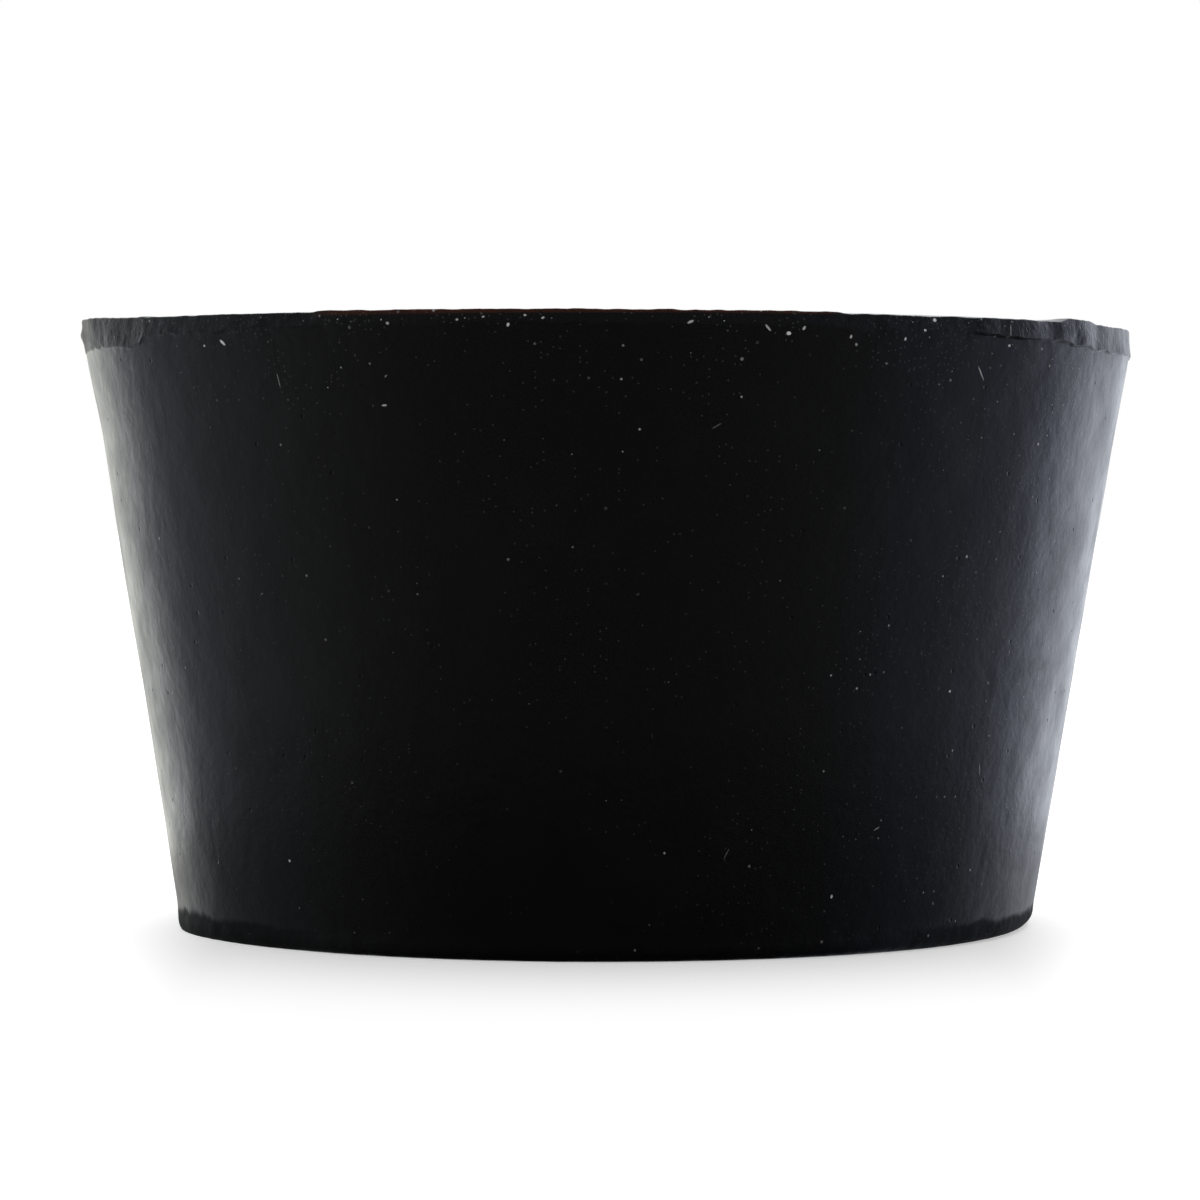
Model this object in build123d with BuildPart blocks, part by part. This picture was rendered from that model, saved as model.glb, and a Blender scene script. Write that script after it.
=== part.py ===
"""Solid laboratory stopper, compression moulded from black rubber in one piece.

The narrow face rests on Z = 0 with its centre at the origin, and +Z runs up to the wide face.
The mould leaves a sheet of flash round the wide end. It is trimmed off with shears in several
strokes that follow the rim, so the top of the wall carries a narrow band of separate cuts.
"""

import os
from itertools import accumulate
from typing import NamedTuple

from build123d import *

# Driving sizes, in millimetres and degrees
length = 25.0  # from the narrow face to the wide face
wide_diameter = 43.8  # of the tapered wall where it would reach the wide face, before trimming
narrow_diameter = 35.6  # of the tapered wall where it would reach the narrow face
foot_height = 0.75  # how far the worn lower edge reaches up the wall
foot_width = 0.45  # how far the worn lower edge reaches in under the wall
foot_round = 0.35  # radius where the worn edge rolls on to the narrow face
first_cut_angle = 168.0  # where the first stroke starts, anticlockwise from +X
knife_overrun = 1.0  # how far the cutting section stands clear of the rubber


class Cut(NamedTuple):
    """One stroke of the shears along the rim."""

    sweep: float  # share of the turn that the stroke follows, in degrees
    drop: float  # from the wide face down to the lower edge of the cut
    inset: float  # how far in the cut has come by the time it reaches the wide face


cuts = [
    Cut(sweep=44.0, drop=1.10, inset=0.30),
    Cut(sweep=27.0, drop=0.60, inset=0.22),
    Cut(sweep=55.0, drop=0.50, inset=0.15),
    Cut(sweep=33.0, drop=0.80, inset=0.24),
    Cut(sweep=44.0, drop=1.05, inset=0.36),
    Cut(sweep=52.0, drop=0.70, inset=0.20),
    Cut(sweep=58.0, drop=0.95, inset=0.32),
]
last_cut = Cut(sweep=360.0 - sum(cut.sweep for cut in cuts), drop=0.65, inset=0.18)
strokes = [*cuts, last_cut]
starts = accumulate((cut.sweep for cut in cuts), initial=first_cut_angle)

wide_radius = wide_diameter / 2
narrow_radius = narrow_diameter / 2


def wall_radius(height):
    """Radius of the tapered wall at a height above the narrow face."""
    return narrow_radius + (wide_radius - narrow_radius) * height / length


with BuildPart() as stopper:
    # Tapered body, with the lower edge worn to a chamfer that rolls on to the narrow face
    with BuildSketch(Plane.XZ) as body_section:
        with BuildLine():
            Polyline(
                (0, 0),
                (narrow_radius - foot_width, 0),
                (wall_radius(foot_height), foot_height),
                (wide_radius, length),
                (0, length),
                close=True,
            )
        make_face()
        foot_corner = body_section.vertices().group_by(Axis.Y)[0].sort_by(Axis.X)[-1]
        fillet(foot_corner, foot_round)
    revolve(axis=Axis.Z)

    # Trimmed rim, one conical cut for each stroke
    for start, cut in zip(starts, strokes):
        lower_edge = length - cut.drop
        lean = cut.inset / cut.drop
        with BuildSketch(Plane.XZ.rotated((0, 0, start))):
            with BuildLine():
                Polyline(
                    (wall_radius(lower_edge), lower_edge),
                    (wide_radius + knife_overrun, lower_edge),
                    (wide_radius + knife_overrun, length + knife_overrun),
                    (wall_radius(lower_edge) - lean * (cut.drop + knife_overrun), length + knife_overrun),
                    close=True,
                )
            make_face()
        revolve(axis=Axis.Z, revolution_arc=cut.sweep, mode=Mode.SUBTRACT)

stopper.part.label = "stopper"

os.makedirs("parts", exist_ok=True)
export_step(stopper.part, "parts/stopper.step")
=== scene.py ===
"""Looks of a solid black rubber laboratory stopper, on a white table under soft studio light."""

from math import atan2, cos, degrees, exp, hypot, pi, radians, sin, tau

import bpy
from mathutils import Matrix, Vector, noise


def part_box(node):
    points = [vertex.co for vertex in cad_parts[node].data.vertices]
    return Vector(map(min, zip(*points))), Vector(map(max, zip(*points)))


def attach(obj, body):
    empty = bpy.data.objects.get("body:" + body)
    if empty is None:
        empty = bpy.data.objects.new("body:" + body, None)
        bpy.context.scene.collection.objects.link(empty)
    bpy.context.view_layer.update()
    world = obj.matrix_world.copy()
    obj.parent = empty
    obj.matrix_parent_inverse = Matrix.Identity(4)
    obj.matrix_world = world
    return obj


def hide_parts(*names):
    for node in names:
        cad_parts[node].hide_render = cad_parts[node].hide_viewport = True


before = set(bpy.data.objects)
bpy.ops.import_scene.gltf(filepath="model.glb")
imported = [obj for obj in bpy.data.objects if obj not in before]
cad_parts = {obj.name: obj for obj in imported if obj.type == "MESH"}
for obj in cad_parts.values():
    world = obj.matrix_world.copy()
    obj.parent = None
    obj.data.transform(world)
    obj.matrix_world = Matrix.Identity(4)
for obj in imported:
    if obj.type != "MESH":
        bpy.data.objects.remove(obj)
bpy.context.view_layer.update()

MM = 0.001

# ---------------------------------------------------------------- sizes, in metres

low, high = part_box("stopper")
HEIGHT = high[2] - low[2]

NARROW_RADIUS = 17.8 * MM  # of the taper where it would reach the narrow face
WIDE_RADIUS = 21.9 * MM  # of the taper where it would reach the wide face
FOOT_HEIGHT = 0.75 * MM  # height of the worn lower edge
FOOT_WIDTH = 0.42 * MM  # how far the worn edge reaches in under the wall
TRIM_HEIGHT = 1.9 * MM  # top stretch of the wall that holds the trimmed flash
LIP_ROUND = 0.06 * MM  # rounding where the trimmed band turns on to the wide face
TURN_STEPS = 800
WALL_RINGS = 50
FOOT_RINGS = 9
BAND_RINGS = 12  # on the trimmed band, and as many again on the wall just under it
LIP_RINGS = 3
# Rings of the narrow face from its middle, and of the wide face from its edge, in millimetres
NARROW_FACE_RINGS = (2, 4, 6, 8, 10, 12, 14, 15.5, 16.4, 16.9)
WIDE_FACE_RINGS = (0.15, 0.3, 0.5, 0.8, 1.3, 2.0, 3.0, 4.5, 6.5, 9.0, 12.0, 15.0, 18.0, 20.0)
FACE_MIDDLE = 10.0 * MM  # inside this radius both faces stay as they are spun
MERGE_DISTANCE = 0.003 * MM
EDGE_ANGLE = 38.0  # degrees between faces from which an edge is left sharp

BODY_LEAN = 0.0045  # sideways travel of the axis for each metre of height
FACE_TILT = 0.0046  # drop of the wide face for each metre towards +X

# Strokes of the shears, anticlockwise. Each is its share of the turn in degrees, then in
# millimetres the band's height at its start and its end, how far the cut leans in, how far
# the band's lower edge stands out from the wall, and how high its top edge stands.
FIRST_STROKE = -102.0  # degrees from the front, where the first one starts
STROKES = [
    (44.0, 1.25, 1.10, 0.06, 0.03, -0.02),
    (27.0, 0.75, 0.62, 0.12, 0.04, -0.07),
    (55.0, 0.50, 0.48, 0.06, 0.02, -0.02),
    (33.0, 0.62, 0.80, 0.10, 0.02, -0.09),
    (44.0, 0.95, 1.45, 0.08, 0.06, -0.12),
    (52.0, 0.80, 0.60, 0.14, 0.03, 0.03),
    (58.0, 0.75, 1.05, 0.22, 0.05, -0.04),
    (47.0, 0.60, 0.75, 0.10, 0.03, 0.02),
]
STROKE_BLEND = 1.4  # degrees over which one stroke runs into the next
LEAST_BAND = 0.3 * MM  # height that is always left of the trimmed band
LEAST_WALL = 0.25 * MM  # and of the stretch of wall under it that is drawn with it

# The small faults of the rim and the foot, as how far each stands out or up
UNDERCUT_LIP = 0.15 * MM  # the band over the wall, right of the front
LEFT_FLASH = 0.20 * MM  # the band at the far left
SCRAP_RISE = 0.16 * MM  # a raised scrap of flash on the right
SCRAP_OUT = 0.05 * MM
TURNED_UP_RISE = 0.13 * MM  # the turned-up end at the far left
NIB_HEADING = -84.0  # degrees from the front, of a small nib on that end
NIB_OUT = 0.13 * MM
WORN_IN = 0.29 * MM  # how far the foot is worn in past the taper
WORN_MORE = 0.31 * MM  # less of it than that on the left, and more on the right
FOOT_FLARE = 0.05 * MM  # the lowest wall on the left
FOOT_LIP = 0.12 * MM  # the foot's corner near the far left
RIM_FLARE_LEFT = 0.15 * MM
RIM_FLARE_RIGHT = 0.05 * MM
BELLY_LEFT = 0.05 * MM  # the wall on the left, a little over half way up


def smooth(value, start, end):
    """Ease from 0 at start to 1 at end."""
    t = min(max((value - start) / (end - start), 0.0), 1.0)
    return t * t * (3.0 - 2.0 * t)


def hump(value, middle, reach):
    """A soft hump that is 1 at the middle and has died away at twice the reach."""
    return exp(-(((value - middle) / reach) ** 2))


def around(degrees_from_front):
    """Degrees brought into -180 to 180."""
    return (degrees_from_front + 180.0) % 360.0 - 180.0


def wander(degrees_from_front, waves, seed):
    """A slow random line round the stopper, from about -1 to 1, the same at both ends."""
    turn = radians(degrees_from_front)
    return noise.noise(Vector((cos(turn) * waves, sin(turn) * waves, seed)))


def wall_radius(z):
    """Radius of the straight taper at a height."""
    return NARROW_RADIUS + (WIDE_RADIUS - NARROW_RADIUS) * z / HEIGHT


def stroke_at(heading):
    """The trimmed band's height, lean, lip and rise at a heading, in metres."""
    start = FIRST_STROKE
    total = [0.0, 0.0, 0.0, 0.0]
    shares = 0.0
    for sweep, drop_start, drop_end, lean, lip, rise in STROKES:
        half = sweep / 2.0
        off = around(heading - start - half)
        share = smooth(half - abs(off), -STROKE_BLEND / 2.0, STROKE_BLEND / 2.0)
        drop = drop_start + (drop_end - drop_start) * min(max((off + half) / sweep, 0.0), 1.0)
        for i, amount in enumerate((drop, lean, lip, rise)):
            total[i] += share * amount * MM
        shares += share
        start += sweep
    return [amount / shares for amount in total]


# ---------------------------------------------------------------- modelling, as by hand

# A point is drawn out towards a wide cylinder round the rubber, and in towards a thin one
OUTER_CYLINDER = 60.0 * MM
INNER_CYLINDER = 1.0 * MM
LEAST_WEIGHT = 1e-6
LEAST_MOVE = 1e-8

TRIM_START = HEIGHT - TRIM_HEIGHT
BAND_START = HEIGHT - TRIM_HEIGHT / 2.0  # of the blank, before the band is drawn to its strokes


def section():
    """The blank's half section, from the narrow face's middle round to the wide face's."""
    points = [(r * MM, 0.0) for r in NARROW_FACE_RINGS]
    foot_in = NARROW_RADIUS - FOOT_WIDTH
    foot_out = wall_radius(FOOT_HEIGHT)
    for k in range(FOOT_RINGS + 1):
        turn = k / FOOT_RINGS * pi / 2.0
        r = foot_in + (foot_out - foot_in) * sin(turn)
        points.append((r, FOOT_HEIGHT * (1.0 - cos(turn))))
    for k in range(1, WALL_RINGS + 1):
        z = FOOT_HEIGHT + (TRIM_START - FOOT_HEIGHT) * k / WALL_RINGS
        points.append((wall_radius(z), z))
    top = HEIGHT - LIP_ROUND
    for start, end in ((TRIM_START, BAND_START), (BAND_START, top)):
        for k in range(1, BAND_RINGS + 1):
            z = start + (end - start) * k / BAND_RINGS
            points.append((wall_radius(z), z))
    edge = wall_radius(HEIGHT)
    for k in range(1, LIP_RINGS + 1):
        turn = k / LIP_RINGS * pi / 2.0
        points.append((edge - LIP_ROUND * (1.0 - cos(turn)), top + LIP_ROUND * sin(turn)))
    for step in WIDE_FACE_RINGS:
        points.append((edge - LIP_ROUND - step * MM, HEIGHT))
    return points


def spun_blank():
    """The moulded blank: a vertex is drawn out along the half section, which is then spun."""
    bpy.ops.object.select_all(action="DESELECT")
    bpy.ops.mesh.primitive_plane_add(size=MM, location=(0, 0, 0))
    blank = bpy.context.object
    blank.name = "moulded_stopper"
    blank.data.name = "moulded_stopper"
    bpy.ops.object.mode_set(mode="EDIT")
    bpy.ops.mesh.merge(type="CENTER")
    radius, height = 0.0, 0.0
    for next_radius, next_height in [*section(), (0.0, HEIGHT)]:
        step = (next_radius - radius, 0.0, next_height - height)
        bpy.ops.mesh.extrude_vertices_move(TRANSFORM_OT_translate={"value": step})
        radius, height = next_radius, next_height
    bpy.ops.mesh.select_all(action="SELECT")
    bpy.ops.mesh.spin(steps=TURN_STEPS, angle=tau, center=(0, 0, 0), axis=(0, 0, 1))
    bpy.ops.mesh.select_all(action="SELECT")
    bpy.ops.mesh.remove_doubles(threshold=MERGE_DISTANCE)
    bpy.ops.mesh.normals_make_consistent(inside=False)
    bpy.ops.object.mode_set(mode="OBJECT")
    return blank


def heading_of(co):
    """Degrees round the stopper from the front, positive towards +X."""
    return degrees(atan2(co.x, -co.y))


def weigh(piece, name, amounts):
    """A vertex group with these amounts; a vertex with none stays out of it."""
    group = piece.vertex_groups.new(name=name)
    for index, amount in enumerate(amounts):
        if amount > LEAST_WEIGHT:
            group.add([index], min(amount, 1.0), "REPLACE")


def apply_to(piece, modifier):
    """Apply a modifier and drop the weights that steered it."""
    bpy.context.view_layer.objects.active = piece
    bpy.ops.object.modifier_apply(modifier=modifier.name)
    piece.vertex_groups.clear()


def shift(piece, name, direction, distances):
    """Move each vertex by its distance along an axis, with a Displace modifier each way."""
    for sign in (1.0, -1.0):
        most = max(sign * d for d in distances)
        if most > LEAST_MOVE:
            weigh(piece, name, [sign * d / most for d in distances])
            modifier = piece.modifiers.new(name, "DISPLACE")
            modifier.vertex_group = name
            modifier.direction = direction
            modifier.mid_level = 0.0
            modifier.strength = sign * most
            apply_to(piece, modifier)


def draw_radially(piece, name, distances):
    """Move each vertex by its distance away from the axis, with a Cast modifier each way."""
    radii = [hypot(v.co.x, v.co.y) for v in piece.data.vertices]
    for sign, target in ((1.0, OUTER_CYLINDER), (-1.0, INNER_CYLINDER)):
        if max(sign * d for d in distances) > LEAST_MOVE:
            shares = [sign * d / abs(target - r) for d, r in zip(distances, radii)]
            weigh(piece, name, shares)
            modifier = piece.modifiers.new(name, "CAST")
            modifier.cast_type = "CYLINDER"
            modifier.vertex_group = name
            modifier.factor = 1.0
            modifier.use_radius_as_size = False
            modifier.size = target
            apply_to(piece, modifier)


def roughen(piece, name, grain, strength, weight, depth=2):
    """Random lumps of a grain size, as deep as the strength where the weight is 1."""
    lumps = bpy.data.textures.new(name, "CLOUDS")
    lumps.noise_scale = grain
    lumps.noise_depth = depth
    weigh(piece, name, [weight(v.co) for v in piece.data.vertices])
    modifier = piece.modifiers.new(name, "DISPLACE")
    modifier.vertex_group = name
    modifier.texture = lumps
    modifier.texture_coords = "LOCAL"
    modifier.direction = "NORMAL"
    modifier.mid_level = 0.5
    modifier.strength = strength
    apply_to(piece, modifier)


# ---------------------------------------------------------------- the shape of the rubber


def trimmed_place(radius, z, heading):
    """Where the shears leave a point of the blank's rim: its radius and height."""
    drop, lean, lip, rise = stroke_at(heading)
    drop += 0.12 * MM * wander(heading, waves=4.0, seed=1.0)
    drop += 0.10 * MM * wander(heading, waves=26.0, seed=2.0)
    drop = min(max(drop, LEAST_BAND), TRIM_HEIGHT - LEAST_WALL)
    lip += UNDERCUT_LIP * smooth(heading, 37.0, 44.0) * (1.0 - smooth(heading, 58.0, 64.0))
    lip *= 1.0 + 0.8 * wander(heading, waves=14.0, seed=3.0)
    lean -= LEFT_FLASH * smooth(heading, -60.0, -78.0) * smooth(heading, -118.0, -98.0)
    rise += 0.025 * MM * wander(heading, waves=9.0, seed=4.0)
    rise += 0.02 * MM * wander(heading, waves=40.0, seed=5.0)
    scrap = smooth(heading, 54.5, 57.0) * (1.0 - smooth(heading, 60.5, 66.0))
    rise += SCRAP_RISE * scrap
    rise += TURNED_UP_RISE * smooth(heading, -62.0, -78.0) * smooth(heading, -112.0, -95.0)
    nib = hump(heading, middle=NIB_HEADING, reach=2.4)
    edge_height = HEIGHT - drop
    edge_radius = wall_radius(edge_height) + lip
    if z <= BAND_START:
        share = (z - TRIM_START) / (BAND_START - TRIM_START)
        new_z = TRIM_START + (edge_height - TRIM_START) * share
        return wall_radius(new_z) + lip * smooth(share, 0.93, 1.0), new_z
    share = min((z - BAND_START) / (HEIGHT - LIP_ROUND - BAND_START), 1.0)
    new_radius = edge_radius - lean * share
    new_z = edge_height + (HEIGHT - LIP_ROUND + rise - edge_height) * share
    new_radius += NIB_OUT * nib * hump(share, middle=0.55, reach=0.2)
    new_radius += SCRAP_OUT * scrap * hump(share, middle=0.6, reach=0.4)
    if share >= 1.0:
        inside = max(WIDE_RADIUS - radius, 0.0)
        fade = 1.0 - smooth(inside, LIP_ROUND, 1.6 * MM)
        far_fade = 1.0 - smooth(inside, LIP_ROUND, 6.0 * MM)
        new_z = z + rise * fade
        new_radius = radius - (WIDE_RADIUS - new_radius) * far_fade
    return new_radius, new_z


def foot_place(radius, z, heading):
    """Where wear and the mould's parting leave a point of the lower edge."""
    left = hump(around(heading + 92.0), middle=0.0, reach=42.0)
    right = hump(around(heading - 88.0), middle=0.0, reach=46.0)
    width = WORN_IN - WORN_MORE * left + WORN_MORE * right
    width += 0.06 * MM * wander(heading, waves=5.0, seed=6.0)
    width = max(width + 0.05 * MM * wander(heading, waves=24.0, seed=7.0), 0.0)
    foot_out = wall_radius(FOOT_HEIGHT)
    nominal = foot_out - (NARROW_RADIUS - FOOT_WIDTH)
    taper_in = foot_out - NARROW_RADIUS
    wanted = taper_in + width
    if radius >= foot_out - nominal:
        new_radius = foot_out - (foot_out - radius) * wanted / nominal
    else:
        fade = 1.0 - smooth(foot_out - nominal - radius, 0.0, 5.0 * MM)
        new_radius = radius - (wanted - nominal) * fade
    return new_radius, z


def flare_at(co):
    """How far a point of the trimmed and worn piece still leans out from the straight taper."""
    heading, z = heading_of(co), co.z
    left = smooth(abs(around(heading + 90.0)), 60.0, 20.0)
    right = smooth(abs(around(heading - 86.0)), 40.0, 10.0)
    flare = FOOT_FLARE * left * smooth(z, 4.0 * MM, 0.0)
    flare += FOOT_LIP * hump(heading, middle=-72.0, reach=9.0) * smooth(z, 1.0 * MM, 0.3 * MM)
    flare += RIM_FLARE_LEFT * left * smooth(z, HEIGHT - 4.7 * MM, HEIGHT - 1.0 * MM)
    flare += RIM_FLARE_RIGHT * right * smooth(z, HEIGHT - 5.0 * MM, HEIGHT - 1.2 * MM)
    flare += BELLY_LEFT * left * hump(z, middle=14.5 * MM, reach=3.5 * MM)
    return flare * smooth(hypot(co.x, co.y), 8.0 * MM, 16.0 * MM)


def on_wall(co):
    """1 on the wall, fading out towards the foot and the rim."""
    return smooth(co.z, 0.2 * MM, 3.0 * MM) * smooth(co.z, HEIGHT - 0.4 * MM, HEIGHT - 3.0 * MM)


def on_rim(co):
    """1 on the trimmed band and the edge over it."""
    near_edge = smooth(hypot(co.x, co.y), 20.0 * MM, 21.0 * MM)
    return smooth(co.z, HEIGHT - 1.7 * MM, HEIGHT - 0.7 * MM) * near_edge


def on_foot(co):
    """1 on the worn lower edge, and 0 where the stopper stands."""
    return smooth(co.z, 0.03 * MM, 0.3 * MM) * smooth(co.z, 1.5 * MM, 0.7 * MM)


def on_wide_face(co):
    """1 on the wide face, fading out towards its edge."""
    near_middle = smooth(hypot(co.x, co.y), 21.0 * MM, 17.0 * MM)
    return smooth(co.z, HEIGHT - 0.3 * MM, HEIGHT - 0.1 * MM) * near_middle


def shape_rubber(piece):
    """Trim the rim, wear the foot, and give the moulding its small faults."""
    places = []
    for vertex in piece.data.vertices:
        co = vertex.co
        radius, z, heading = hypot(co.x, co.y), co.z, heading_of(co)
        if z > TRIM_START and radius > FACE_MIDDLE:
            places.append(trimmed_place(radius, z, heading))
        elif z <= FOOT_HEIGHT and radius > FACE_MIDDLE:
            places.append(foot_place(radius, z, heading))
        else:
            places.append((radius, z))
    radii = [hypot(v.co.x, v.co.y) for v in piece.data.vertices]
    heights = [v.co.z for v in piece.data.vertices]
    draw_radially(piece, "worn_and_trimmed", [place[0] - r for place, r in zip(places, radii)])
    shift(piece, "trimmed_height", "Z", [place[1] - z for place, z in zip(places, heights)])
    draw_radially(piece, "flares", [flare_at(v.co) for v in piece.data.vertices])

    roughen(piece, "slow_swell", 9.0 * MM, 0.07 * MM, on_wall)
    roughen(piece, "ripple", 2.2 * MM, 0.025 * MM, on_wall)
    roughen(piece, "torn_flash", 0.6 * MM, 0.06 * MM, on_rim, depth=3)
    roughen(piece, "worn_foot", 0.9 * MM, 0.07 * MM, on_foot)
    roughen(piece, "face_swell", 7.0 * MM, 0.09 * MM, on_wide_face)

    tilts = [-FACE_TILT * v.co.x * v.co.z / HEIGHT for v in piece.data.vertices]
    shift(piece, "face_tilt", "Z", tilts)
    shift(piece, "body_lean", "X", [BODY_LEAN * v.co.z for v in piece.data.vertices])


def mark_band(piece):
    """A value on each vertex that is 1 where the shears cut and 0 where the mould shaped."""
    band = piece.data.attributes.new("trimmed", "FLOAT", "POINT")
    edge = wall_radius(HEIGHT)
    for vertex in piece.data.vertices:
        radius, z = hypot(vertex.co.x, vertex.co.y), vertex.co.z
        on_band = smooth(z, BAND_START - 0.05 * MM, BAND_START)
        band.data[vertex.index].value = on_band * smooth(edge - radius, 0.5 * MM, 0.1 * MM)


# ---------------------------------------------------------------- materials


class Amount:
    """A number or colour in a node tree; plain arithmetic on it adds Math nodes."""

    def __init__(self, bench, socket):
        self.bench = bench
        self.socket = socket

    def math(self, operation, *terms):
        return self.bench.node("ShaderNodeMath", {"operation": operation}, dict(enumerate(terms)))

    def __add__(self, other):
        return self.math("ADD", self, other)

    def __radd__(self, other):
        return self.math("ADD", other, self)

    def __sub__(self, other):
        return self.math("SUBTRACT", self, other)

    def __rsub__(self, other):
        return self.math("SUBTRACT", other, self)

    def __mul__(self, other):
        return self.math("MULTIPLY", self, other)

    def __rmul__(self, other):
        return self.math("MULTIPLY", other, self)

    def __truediv__(self, other):
        return self.math("DIVIDE", self, other)

    def __pow__(self, other):
        return self.math("POWER", self, other)

    def beside(self, output):
        """Another output of the node that this one comes from."""
        return Amount(self.bench, self.socket.node.outputs[output])

    def largest(self, other):
        return self.math("MAXIMUM", self, other)

    def least(self, other):
        return self.math("MINIMUM", self, other)

    def size(self):
        return self.math("ABSOLUTE", self)

    def root(self):
        return self.math("SQRT", self)

    def ease(self, start, end, low_value=0.0, high_value=1.0):
        """Run smoothly from the low value at start to the high value at end."""
        settings = {"interpolation_type": "SMOOTHSTEP"}
        inputs = {
            "Value": self,
            "From Min": start,
            "From Max": end,
            "To Min": low_value,
            "To Max": high_value,
        }
        return self.bench.node("ShaderNodeMapRange", settings, inputs)


class Bench:
    """A node tree that is being laid out."""

    def __init__(self, tree):
        self.tree = tree
        self.tree.nodes.clear()

    def node(self, kind, settings=None, inputs=None, output=0):
        """Add a node with its settings and inputs, and hand back one of its outputs."""
        node = self.tree.nodes.new(kind)
        for name, value in (settings or {}).items():
            setattr(node, name, value)
        for name, value in (inputs or {}).items():
            if isinstance(value, Amount):
                self.tree.links.new(value.socket, node.inputs[name])
            else:
                node.inputs[name].default_value = value
        return Amount(self, node.outputs[output]) if node.outputs else node

    def blend(self, factor, first, second):
        """Run from the first colour to the second as the factor goes from 0 to 1."""
        node = self.tree.nodes.new("ShaderNodeMix")
        node.data_type = "RGBA"
        for name, value in (("Factor", factor), ("A", first), ("B", second)):
            socket = [s for s in node.inputs if s.name == name and s.enabled][0]
            if isinstance(value, Amount):
                self.tree.links.new(value.socket, socket)
            else:
                socket.default_value = value if name == "Factor" else (*value, 1.0)
        return Amount(self, [s for s in node.outputs if s.enabled][0])

    def noise(self, place, per_metre, detail=2.0, roughness=0.5, distortion=0.0):
        """Soft random lumps, so many in a metre."""
        inputs = {
            "Vector": place,
            "Scale": per_metre,
            "Detail": detail,
            "Roughness": roughness,
            "Distortion": distortion,
        }
        return self.node("ShaderNodeTexNoise", {}, inputs)

    def axes(self, place):
        """The three numbers of a place."""
        return [self.node("ShaderNodeSeparateXYZ", inputs={"Vector": place}, output=axis) for axis in "XYZ"]

    def scatter(self, spread, per_unit):
        """How far each place is from the nearest of many random points, and a chance for each point."""
        settings = {"voronoi_dimensions": "2D", "feature": "F1"}
        inputs = {"Vector": spread, "Scale": per_unit, "Randomness": 1.0}
        away = self.node("ShaderNodeTexVoronoi", settings, inputs, "Distance")
        chance = self.node("ShaderNodeSeparateColor", inputs={"Color": away.beside("Color")}, output="Red")
        return away, chance


# Dust and lint that stand out, as they lie on the wall. Each is its degrees from the front and
# its height, length and width in millimetres, its turn in degrees, and how pale it is.
SPECKS = [
    (-43.4, 23.9, 0.40, 0.14, -38.0, 1.0),
    (-46.3, 23.8, 0.14, 0.12, 0.0, 0.6),
    (-23.4, 21.4, 0.26, 0.10, 3.0, 0.6),
    (-22.4, 24.5, 0.16, 0.13, 0.0, 0.6),
    (-15.0, 24.6, 0.13, 0.10, 0.0, 0.6),
    (-12.3, 24.7, 0.12, 0.09, 20.0, 0.7),
    (-9.8, 24.4, 0.18, 0.13, 70.0, 0.9),
    (-8.1, 24.75, 0.13, 0.09, 0.0, 0.8),
    (-6.3, 24.65, 0.15, 0.10, 30.0, 0.7),
    (8.3, 24.5, 0.30, 0.12, 25.0, 0.6),
    (16.2, 24.3, 0.38, 0.10, -48.0, 0.6),
    (18.4, 24.1, 0.21, 0.17, 0.0, 1.0),
    (20.0, 24.3, 0.20, 0.12, 60.0, 0.7),
    (25.2, 24.0, 0.17, 0.11, 80.0, 0.7),
    (31.6, 23.95, 0.17, 0.10, 85.0, 0.8),
    (33.9, 24.3, 0.15, 0.12, 0.0, 0.8),
    (35.3, 24.7, 0.20, 0.17, 0.0, 1.0),
    (46.0, 23.8, 0.17, 0.13, 0.0, 0.8),
    (43.6, 10.3, 0.15, 0.12, 0.0, 0.8),
    (28.7, 2.4, 0.18, 0.13, 80.0, 0.9),
    (-42.7, 3.6, 0.15, 0.14, 0.0, 0.8),
]
LINT = [
    (-36.1, 22.4, 0.70, 0.050, 100.0, 0.30),
    (42.2, 22.7, 0.80, 0.065, -55.0, 0.60),
    (45.6, 24.4, 0.60, 0.055, 82.0, 0.40),
    (51.3, 7.1, 0.60, 0.060, -75.0, 0.40),
    (34.4, 5.0, 0.40, 0.060, 25.0, 0.35),
    (14.4, 4.2, 0.55, 0.045, 62.0, 0.18),
    (11.3, 20.6, 0.50, 0.055, 30.0, 0.13),
]
# Dark marks in the same order: pits and short scores in the wall, and a nick under the rim
PITS = [
    (-64.0, 23.4, 0.24, 0.22, 0.0, 0.9),
    (-58.0, 20.3, 0.20, 0.18, 0.0, 0.6),
    (-49.3, 13.4, 0.26, 0.22, 0.0, 0.9),
    (-51.8, 6.4, 0.20, 0.18, 0.0, 0.7),
    (60.3, 15.7, 0.24, 0.20, 0.0, 0.8),
    (58.6, 14.2, 0.20, 0.20, 0.0, 0.7),
    (57.9, 12.9, 0.20, 0.16, 0.0, 0.6),
    (55.4, 20.0, 0.95, 0.09, 88.0, 0.6),
    (63.3, 21.1, 1.00, 0.10, 80.0, 0.5),
    (-12.7, 23.9, 1.20, 0.42, -58.0, 0.7),
]
WALL_SPREAD = 20.5  # mean radius of the wall, in millimetres, on which the marks are laid out

# Colours of the rubber and of what lies on it
BLACK = (0.0036, 0.0036, 0.0037)
# Grey of the bloom, bluish like the light on the right, where it also serves as painted light
BLOOM_AND_PAINTED_LIGHT_GREY = (0.012, 0.0128, 0.0150)
CUT_GREY = (0.0065, 0.0069, 0.0080)
RUST_BROWN = (0.052, 0.0130, 0.0050)
DUST_WHITE = (0.80, 0.80, 0.82)
RUBBER_IOR = 1.5

# The rust-brown stroke, from where to where round the stopper in radians, and how fast it fades
BROWN_START = -0.53
BROWN_END = 0.41
BROWN_FADE = 0.03

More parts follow.
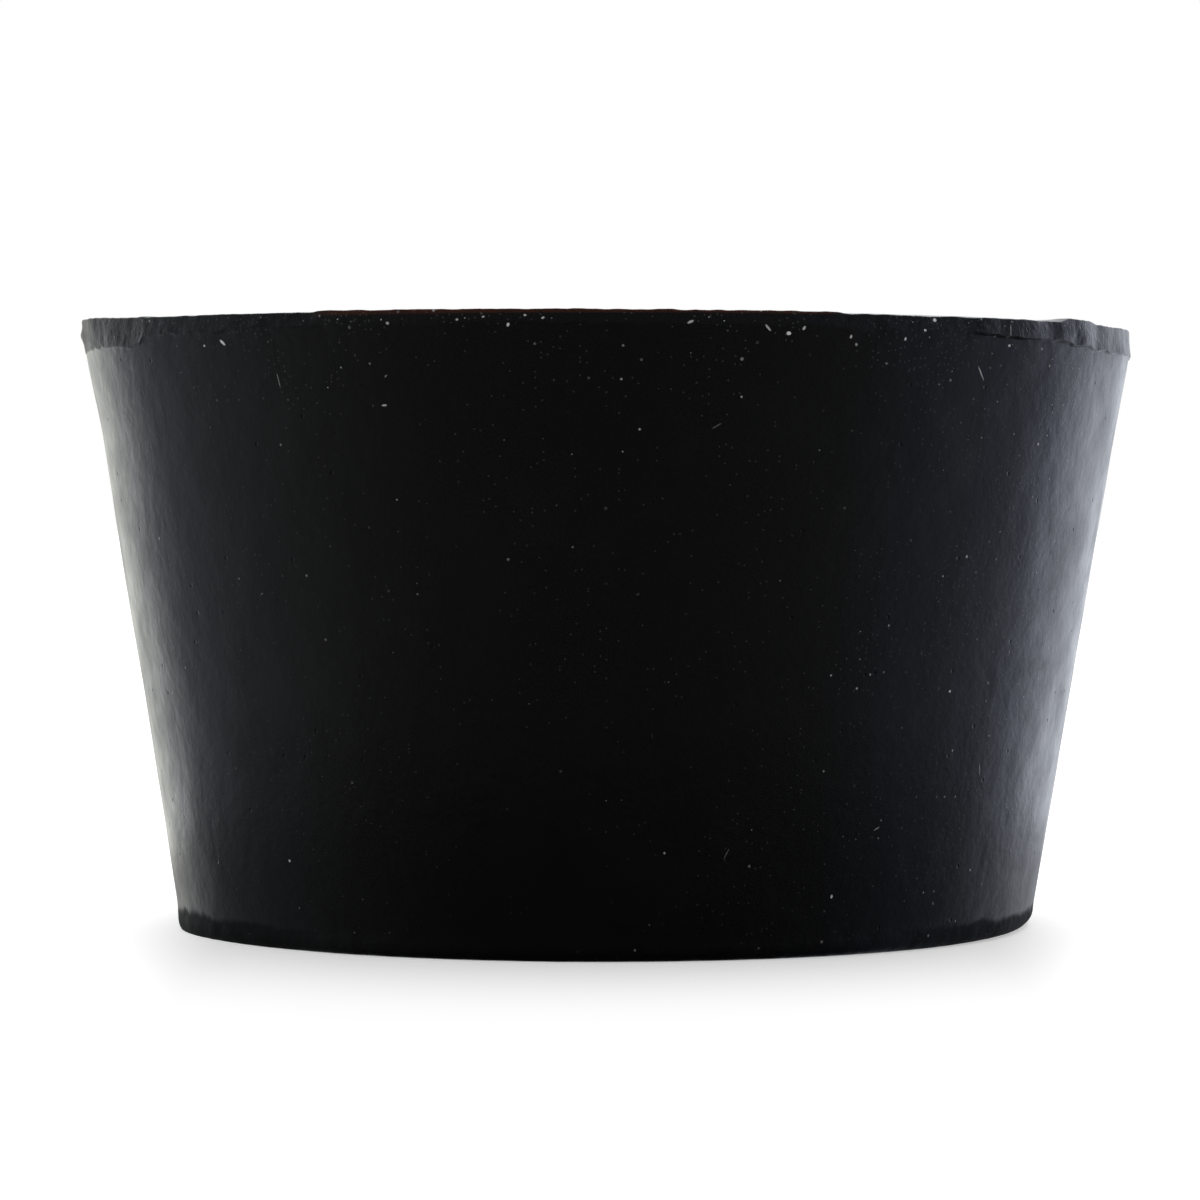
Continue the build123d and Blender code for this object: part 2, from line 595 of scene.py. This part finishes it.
# Lumps of each pattern in a metre: sizes of about 11, 5, 3, 0.9, 0.4 and 0.2 mm
PATCHES = 90.0
WISPS = 210.0
MOTTLES = 320.0
PEEL = 1100.0
CRUMBS = 2300.0
GRAIN = 5200.0
# Cells in a millimetre, each of which may hold one pit, one grain of dust or one of powder
PIT_CELLS = 0.9
DUST_CELLS = 1.6
POWDER_CELLS = 4.3


def marks_on(bench, unrolled, marks, soft=0.55):
    """The paleness or darkness of these marks at each place on the unrolled wall."""
    shown = None
    for heading, height, length, width, turn, strength in marks:
        settings = {"vector_type": "TEXTURE"}
        inputs = {
            "Vector": unrolled,
            "Location": (radians(heading) * WALL_SPREAD, height, 0.0),
            "Rotation": (0.0, 0.0, radians(turn)),
            "Scale": (length / 2.0, width / 2.0, 1.0),
        }
        off = bench.node("ShaderNodeMapping", settings, inputs)
        away = bench.node("ShaderNodeVectorMath", {"operation": "LENGTH"}, {0: off}, "Value")
        mark = away.ease(1.0, soft, 0.0, strength)
        shown = shown.largest(mark) if shown else mark
    return shown


def rubber():
    """Satin black rubber: mottled sheen, faint bloom that also paints light on the right, pits, dust, lint
    and a duller trimmed band.
    """
    material = bpy.data.materials.new("black_rubber")
    material.use_nodes = True
    bench = Bench(material.node_tree)
    place = bench.node("ShaderNodeTexCoord", output="Object")
    x, y, z = [axis / MM for axis in bench.axes(place)]
    turn = x.math("ARCTAN2", x, 0.0 - y)
    unrolled = bench.node("ShaderNodeCombineXYZ", inputs={"X": turn * WALL_SPREAD, "Y": z})
    radius = (x * x + y * y).root()
    wall_here = NARROW_RADIUS / MM + (WIDE_RADIUS - NARROW_RADIUS) / HEIGHT * z
    on_face = (wall_here - radius).ease(0.5, 0.8)
    flat = bench.node("ShaderNodeCombineXYZ", inputs={"X": x, "Y": y})
    spread = bench.blend(on_face, unrolled, flat)
    trimmed = bench.node("ShaderNodeAttribute", {"attribute_name": "trimmed"}, output="Fac")
    on_right = x.ease(6.0, 19.0)
    top = HEIGHT / MM

    mottle = bench.noise(place, MOTTLES, 3.0, 0.6)
    patches = bench.noise(place, PATCHES, 2.0)
    grain = bench.noise(place, GRAIN, 2.0, 0.6)
    peel = bench.noise(place, PEEL, 2.0)
    crumb = bench.noise(place, CRUMBS, 3.0, 0.65)
    wisps = bench.noise(place, WISPS, 4.0, 0.66, distortion=0.5)
    # The worn foot, up to an uneven line
    foot = (z + (mottle - 0.5) + (peel - 0.5) * 0.3).ease(1.05, 0.70)

    # Bloom and painted light: a thin grey haze in wisps, more of it on the right, where it paints in the
    # paler, bluer look that the light gives that side
    bloom_and_painted_light = wisps.ease(0.5, 0.72) * crumb.ease(0.3, 0.6, 0.5, 1.0) * (0.15 + 0.85 * on_right)
    colour = bench.blend(bloom_and_painted_light, BLACK, BLOOM_AND_PAINTED_LIGHT_GREY)
    colour = bench.blend(trimmed * 0.8, colour, CUT_GREY)
    # The cut edge of the front stroke shows a rust-brown tinge
    front_stroke = turn.ease(BROWN_START - BROWN_FADE, BROWN_START + BROWN_FADE)
    front_stroke = front_stroke * turn.ease(BROWN_END + BROWN_FADE, BROWN_END - BROWN_FADE)
    brown = z.ease(top - 0.2, top - 0.1) * radius.ease(21.0, 21.5) * front_stroke
    brown = brown * crumb.ease(0.30, 0.55, 0.5, 1.0)
    colour = bench.blend(brown, colour, RUST_BROWN)

    sheen = 0.055 + 0.30 * mottle + 0.18 * patches + 0.08 * peel + 0.10 * bloom_and_painted_light
    sheen = sheen + trimmed * (1.0 - 0.6 * on_right) * (0.08 + 0.14 * crumb)
    sheen = sheen + foot * x.size().ease(9.0, 15.0, 0.06, 0.48)

    # Dust: small round grains in the cells of a pattern laid out over the wall and the face,
    # thickest near the rim and on the right, with a finer powder between them
    settled = 0.05 + z.ease(top - 4.5, top - 0.4) * 0.26
    settled = settled + z.ease(top - 0.7, top - 0.2) * 0.25 * (1.0 - on_face)
    settled = settled + turn.ease(0.2, 0.8) * z.ease(8.0, 20.0, 0.10, 0.30)
    settled = settled * patches.ease(0.3, 0.6, 0.5, 1.4)
    clusters = mottle.ease(0.42, 0.62, 0.1, 1.2)
    near, chance = bench.scatter(spread, DUST_CELLS)
    kept = chance.math("GREATER_THAN", chance, 1.0 - settled)
    size = 0.045 + 0.085 * chance.beside("Green") ** 2.0
    grains = near.ease(size, size * 0.45) * kept * (0.05 + 0.50 * chance.beside("Blue") ** 3.0)
    powder, chance = bench.scatter(spread, POWDER_CELLS)
    powder = powder.ease(0.20, 0.08) * chance.math("GREATER_THAN", chance, 1.0 - settled * clusters)
    grains = grains.largest(powder * 0.045)
    dust = grains.largest(marks_on(bench, unrolled, SPECKS + LINT) * y.ease(8.0, -2.0))
    colour = bench.blend(dust, colour, DUST_WHITE)
    sheen = sheen.largest(dust.ease(0.0, 0.25) * 0.85)

    # Pits and scores, those that stand out and a scatter of small ones
    pit, chance = bench.scatter(spread, PIT_CELLS)
    chance = chance.beside("Green")
    pit = pit.ease(0.09, 0.02) * chance.math("GREATER_THAN", chance, 0.93) * 0.7
    dark = pit.largest(marks_on(bench, unrolled, PITS, 0.1))
    sheen = sheen + dark * 0.25

    # Heights of the surface, in millimetres. The marks stay out of them, because so many of
    # them behind a bump are more than the renderer can hold.
    height = (grain - 0.5) * 0.008 + (peel - 0.5) * 0.018 + (mottle - 0.5) * 0.055
    height = height + (crumb - 0.5) * (0.010 + trimmed * 0.045 + foot * 0.020)
    height = height + grains.least(0.3) * 0.04 - pit * 0.03
    normal = bench.node("ShaderNodeBump", {}, {"Height": height, "Distance": MM, "Strength": 1.0})

    inputs = {"Base Color": colour, "Roughness": sheen, "Normal": normal, "IOR": RUBBER_IOR}
    shader = bench.node("ShaderNodeBsdfPrincipled", inputs=inputs)
    bench.node("ShaderNodeOutputMaterial", inputs={"Surface": shader})
    return material


TABLE_WHITE = (0.75, 0.75, 0.75, 1.0)
TABLE_GLOW_FRONT = 0.42  # glow that the camera sees in line with the stopper
TABLE_PAINTED_LIGHT_BESIDE = 0.66  # and beside it, where the extra is painted light that washes the shadow out at the stopper's sides
PAINTED_SHADE_COVER = 0.57  # how much of what lies under it the painted shade disc hides


def white_table():
    """A matt white top that shows as plain white, keeps the soft shadow in front, gives no reflection, and
    is painted lighter beside the stopper to wash its shadow out there.
    """
    material = bpy.data.materials.new("white_table")
    material.use_nodes = True
    bench = Bench(material.node_tree)
    place = bench.node("ShaderNodeTexCoord", output="Object")
    sideways = bench.axes(place)[0].size()
    # Painted light: the glow rises beside the stopper, where it washes out the object's shadow
    glow = sideways.ease(15.0 * MM, 20.0 * MM, TABLE_GLOW_FRONT, TABLE_PAINTED_LIGHT_BESIDE)
    camera_ray = bench.node("ShaderNodeLightPath", output="Is Camera Ray")
    inputs = {
        "Base Color": TABLE_WHITE,
        "Roughness": 0.9,
        "Specular IOR Level": 0.0,
        "Emission Color": (1.0, 1.0, 1.0, 1.0),
        "Emission Strength": camera_ray * glow,
    }
    shader = bench.node("ShaderNodeBsdfPrincipled", inputs=inputs)
    bench.node("ShaderNodeOutputMaterial", inputs={"Surface": shader})
    return material


def painted_shade_disc():
    """A painted shade: a half-clear black sheet that stands in for the table's shadow round the foot, as
    the rubber mirrors it; it sends nothing back.
    """
    material = bpy.data.materials.new("painted_shade_disc")
    material.use_nodes = True
    bench = Bench(material.node_tree)
    inputs = {
        "Base Color": (0.0, 0.0, 0.0, 1.0),
        "Roughness": 1.0,
        "Specular IOR Level": 0.0,
        "Alpha": PAINTED_SHADE_COVER,
    }
    shader = bench.node("ShaderNodeBsdfPrincipled", inputs=inputs)
    bench.node("ShaderNodeOutputMaterial", inputs={"Surface": shader})
    return material


BACKDROP_TURN = 8.0  # degrees that the backdrop's middle stands to the right of straight behind
FRONT_GLOW = 0.058
SIDE_GLOW = 0.29
BACKDROP_GLOW = 1.42  # on top of the glow at the sides
# Tints of what the rubber mirrors: the backdrop's left and right, the room's, and the front's
BACKDROP_LEFT = (1.0, 1.01, 0.94)
BACKDROP_RIGHT = (0.95, 1.0, 1.11)
ROOM_LEFT = (0.93, 1.00, 1.11)
ROOM_RIGHT = (0.86, 0.96, 1.24)
ROOM_FRONT = (1.0, 1.02, 1.0)
PLAIN_WHITE = (1.0, 1.0, 1.0)


def studio_surround():
    """A white backdrop behind and a little to the right, falling off to a dim room in front."""
    world = bpy.data.worlds.new("studio_surround")
    bpy.context.scene.world = world
    world.use_nodes = True
    bench = Bench(world.node_tree)
    x, y, z = bench.axes(bench.node("ShaderNodeTexCoord", output="Generated"))
    turned = radians(BACKDROP_TURN)
    behind = y * cos(turned) + x * sin(turned)
    level = behind.ease(-1.0, 0.4, FRONT_GLOW, SIDE_GLOW) + behind.ease(0.48, 0.84, 0.0, BACKDROP_GLOW)
    # A little brighter on the left, and dimmer at the front right, low down, and high up in front
    level = level * x.ease(0.1, -0.5, 1.0, 1.12)
    level = level * (1.0 - x.ease(0.3, 0.8) * behind.ease(0.0, -0.4) * 0.28)
    level = level * (1.0 - z.ease(-0.35, -0.9) * 0.9)
    level = level * (1.0 - z.ease(0.15, 0.7) * behind.ease(0.5, -0.5) * 0.6)
    room = bench.blend(x.ease(-0.3, 0.5), ROOM_LEFT, ROOM_RIGHT)
    room = bench.blend(behind.ease(-0.55, 0.1), ROOM_FRONT, room)
    backdrop = bench.blend(x.ease(-0.3, 0.5), BACKDROP_LEFT, BACKDROP_RIGHT)
    tint = bench.blend(behind.ease(0.52, 0.87), room, backdrop)
    glossy_ray = bench.node("ShaderNodeLightPath", output="Is Glossy Ray")
    tint = bench.blend(glossy_ray, PLAIN_WHITE, tint)
    glow = bench.node("ShaderNodeBackground", inputs={"Color": tint, "Strength": level})
    plain_inputs = {"Color": (*PLAIN_WHITE, 1.0), "Strength": 1.0}
    plain = bench.node("ShaderNodeBackground", inputs=plain_inputs)
    camera_ray = bench.node("ShaderNodeLightPath", output="Is Camera Ray")
    mixed = bench.node("ShaderNodeMixShader", inputs={0: camera_ray, 1: glow, 2: plain})
    bench.node("ShaderNodeOutputWorld", inputs={"Surface": mixed})


# ---------------------------------------------------------------- the stopper

stopper = spun_blank()
mark_band(stopper)
shape_rubber(stopper)
bpy.ops.object.select_all(action="DESELECT")
stopper.select_set(True)
bpy.context.view_layer.objects.active = stopper
bpy.ops.object.shade_smooth_by_angle(angle=radians(EDGE_ANGLE))
stopper.data.materials.append(rubber())
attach(stopper, "root")
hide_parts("stopper")

# ---------------------------------------------------------------- table, light and camera

TABLE_SIDE = 4.0
SHADE_DISC_RADIUS = 37.0 * MM
SHADE_DISC_LIFT = 0.02 * MM
SOFTBOX_HEIGHT = 1.0
SOFTBOX_ENERGY = 1.8
SOFTBOX_ANGLE = 60.0  # degrees across, as seen from the stopper
EYE_DISTANCE = 202.0 * MM  # from the stopper's axis
EYE_HEIGHT = 18.1 * MM
EYE_SIDE = -0.25 * MM
EYE_PITCH = 1.287  # degrees that the camera looks down
LENS = 143.95  # millimetres, as is the sensor
SENSOR_WIDTH = 36.0
NEAREST_SEEN = 0.01

bpy.ops.object.select_all(action="DESELECT")
bpy.ops.mesh.primitive_plane_add(size=TABLE_SIDE, location=(0, 0, low[2]))
table = bpy.context.object
table.name = "white_table"
table.data.materials.append(white_table())
table.visible_glossy = False

# A painted shade: a half-clear black disc on the table round the foot, seen only in the rubber's
# reflections, where it stands in for the table's shadow there
shade_disc_place = (0, 0, low[2] + SHADE_DISC_LIFT)
bpy.ops.mesh.primitive_circle_add(radius=SHADE_DISC_RADIUS, fill_type="NGON", location=shade_disc_place)
shade_disc = bpy.context.object
shade_disc.name = "painted_shade_disc"
shade_disc.data.materials.append(painted_shade_disc())
shade_disc.visible_camera = False
shade_disc.visible_diffuse = False
shade_disc.visible_shadow = False

studio_surround()

bpy.ops.object.light_add(type="SUN", location=(0, 0, SOFTBOX_HEIGHT))
overhead = bpy.context.object
overhead.name = "overhead_softbox"
overhead.data.energy = SOFTBOX_ENERGY
overhead.data.angle = radians(SOFTBOX_ANGLE)
overhead.visible_glossy = False

bpy.ops.object.camera_add(location=(EYE_SIDE, -EYE_DISTANCE, EYE_HEIGHT))
camera = bpy.context.object
camera.rotation_euler = (radians(90.0 - EYE_PITCH), 0.0, 0.0)
camera.data.sensor_width = SENSOR_WIDTH
camera.data.lens = LENS
camera.data.clip_start = NEAREST_SEEN
bpy.context.scene.camera = camera
bpy.context.scene.view_settings.view_transform = "Standard"
